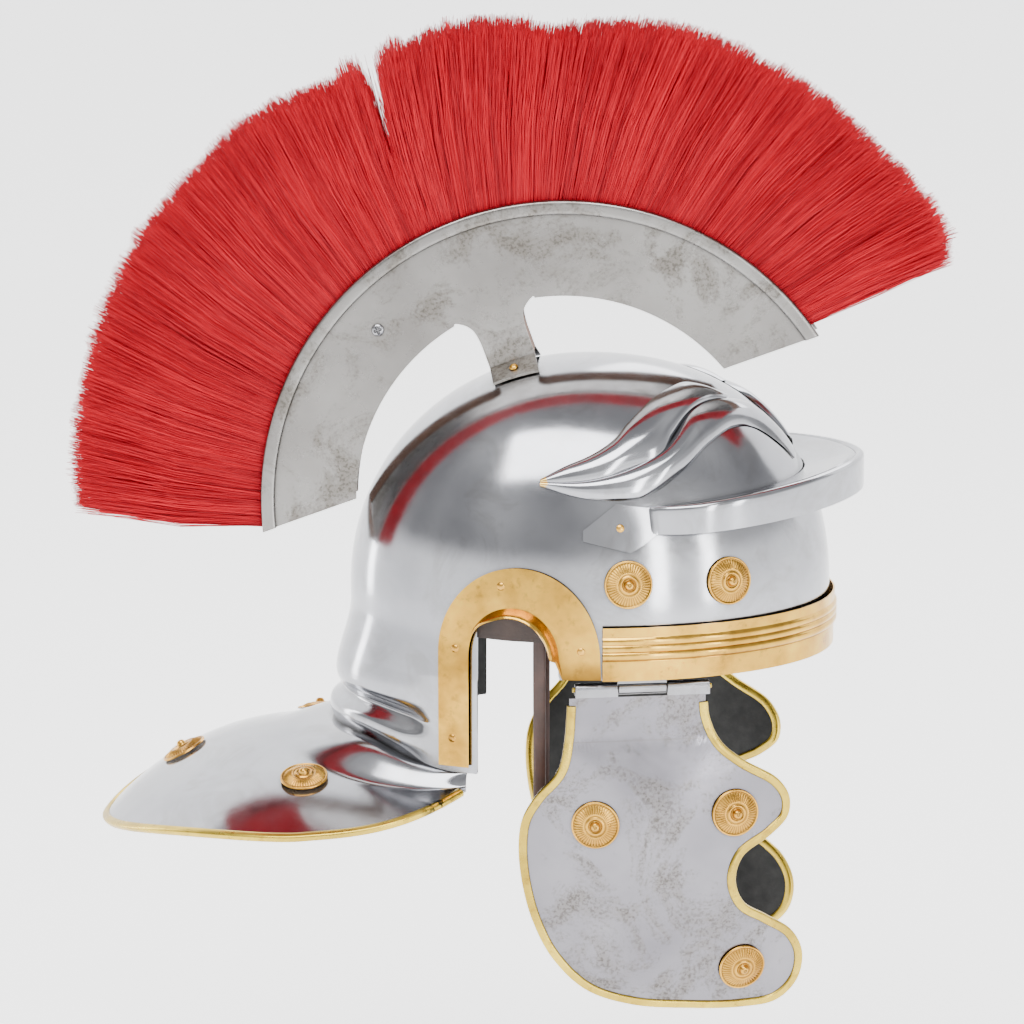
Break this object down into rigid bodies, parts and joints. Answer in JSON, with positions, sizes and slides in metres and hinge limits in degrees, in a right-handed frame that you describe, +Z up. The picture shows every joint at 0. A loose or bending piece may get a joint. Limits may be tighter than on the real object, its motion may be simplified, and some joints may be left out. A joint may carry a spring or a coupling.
{
  "type": "roman legionary helmet",
  "caption": "Steel helmet with a brass-trimmed bowl, sloping neck guard, hinged cheek guards, brow peak and a tall bristle crest on an arc-shaped holder.",
  "frame": {"origin": "centre of the head opening, at the level of the front rim", "axes": "+X to the wearer's front, +Y to the wearer's left, +Z up"},
  "size_m": [0.4246, 0.228, 0.4765],
  "materials": {
    "polished_steel": "polished by hand, soft reflections",
    "dull_steel": "dull, mottled",
    "sheet_brass": "polished",
    "piping_brass": "satin",
    "rosette_brass": "satin",
    "core_wood": "plain",
    "plume_bristle": "dyed bristle",
    "liner_leather": "plain",
    "strap_leather": "plain"
  },
  "bodies": {
    "helmet": {"bowl": "polished_steel", "neck_guard_piping": "piping_brass", "ear_guard_right": "sheet_brass", "ear_guard_left": "sheet_brass", "brow_band": "sheet_brass", "brow_peak": "polished_steel", "eyebrow_right": "polished_steel", "eyebrow_left": "polished_steel", "bowl_rosette_rear_right": "rosette_brass", "bowl_rosette_rear_left": "rosette_brass", "bowl_rosette_front_right": "rosette_brass", "bowl_rosette_front_left": "rosette_brass", "ear_rivet_1_right": "rosette_brass", "ear_rivet_1_left": "rosette_brass", "ear_rivet_2_right": "rosette_brass", "ear_rivet_2_left": "rosette_brass", "ear_rivet_3_right": "rosette_brass", "ear_rivet_3_left": "rosette_brass", "ear_rivet_4_right": "rosette_brass", "ear_rivet_4_left": "rosette_brass", "peak_rivet_right": "rosette_brass", "peak_rivet_left": "rosette_brass", "neck_rosette_middle": "rosette_brass", "neck_rosette_right": "rosette_brass", "neck_rosette_left": "rosette_brass", "hinge_leaf_right": "dull_steel", "hinge_pin_right": "sheet_brass", "hinge_leaf_left": "dull_steel", "hinge_pin_left": "sheet_brass", "crest_plate_right": "dull_steel", "crest_plate_left": "dull_steel", "crest_core": "core_wood", "crest_screw_right": "dull_steel", "crest_screw_left": "dull_steel", "foot_screw_right": "rosette_brass", "foot_screw_left": "rosette_brass", "plume": "plume_bristle", "liner": "liner_leather", "chin_strap": "strap_leather"},
    "cheek_right": {"cheek_guard_right": "polished_steel", "cheek_piping_right": "piping_brass", "cheek_rosette_rear_right": "rosette_brass", "cheek_rosette_front_right": "rosette_brass", "cheek_rosette_low_right": "rosette_brass"},
    "cheek_left": {"cheek_guard_left": "polished_steel", "cheek_piping_left": "piping_brass", "cheek_rosette_rear_left": "rosette_brass", "cheek_rosette_front_left": "rosette_brass", "cheek_rosette_low_left": "rosette_brass"}
  },
  "joints": [
    {"name": "cheek_right_hinge", "type": "hinge", "parent": "helmet", "child": "cheek_right", "pos_m": [0.0259, -0.086, -0.0048], "axis": [-0.986, -0.1668, 0], "range_deg": [-10, 100]},
    {"name": "cheek_left_hinge", "type": "hinge", "parent": "helmet", "child": "cheek_left", "pos_m": [0.0259, 0.086, -0.0048], "axis": [0.986, -0.1668, 0], "range_deg": [-10, 100]}
  ]
}
